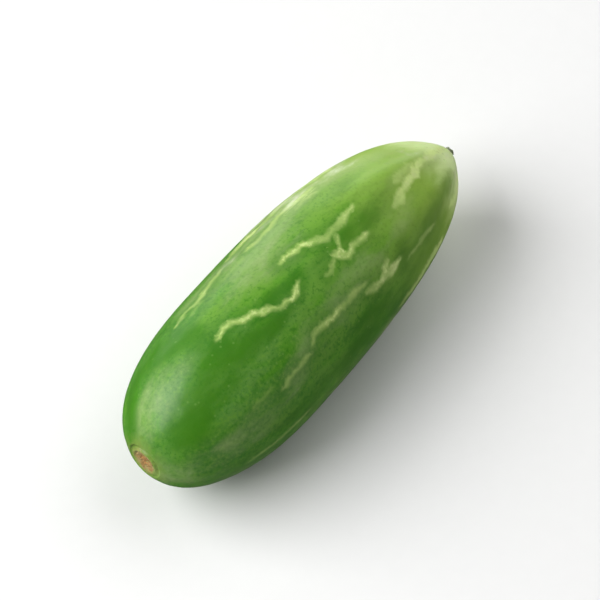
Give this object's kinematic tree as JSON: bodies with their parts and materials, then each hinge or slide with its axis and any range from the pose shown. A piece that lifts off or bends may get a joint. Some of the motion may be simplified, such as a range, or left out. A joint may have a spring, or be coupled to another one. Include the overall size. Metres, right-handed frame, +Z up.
{
  "type": "ivy gourd",
  "caption": "Short plump cucumber-like fruit lying on its side, blunt with a round corky stalk scar at one end, tapering to a small dry flower remnant at the other.",
  "frame": {"origin": "under the middle of the fruit's box, on the surface that it rests on", "axes": "+Z up, +X along the fruit from the stalk scar to the flower tip"},
  "size_m": [0.059, 0.021, 0.0206],
  "materials": {
    "skin": "waxy satin fruit skin, mid green with pale broken streaks lengthwise"
  },
  "bodies": {
    "root": {"gourd": "skin"}
  },
  "joints": []
}
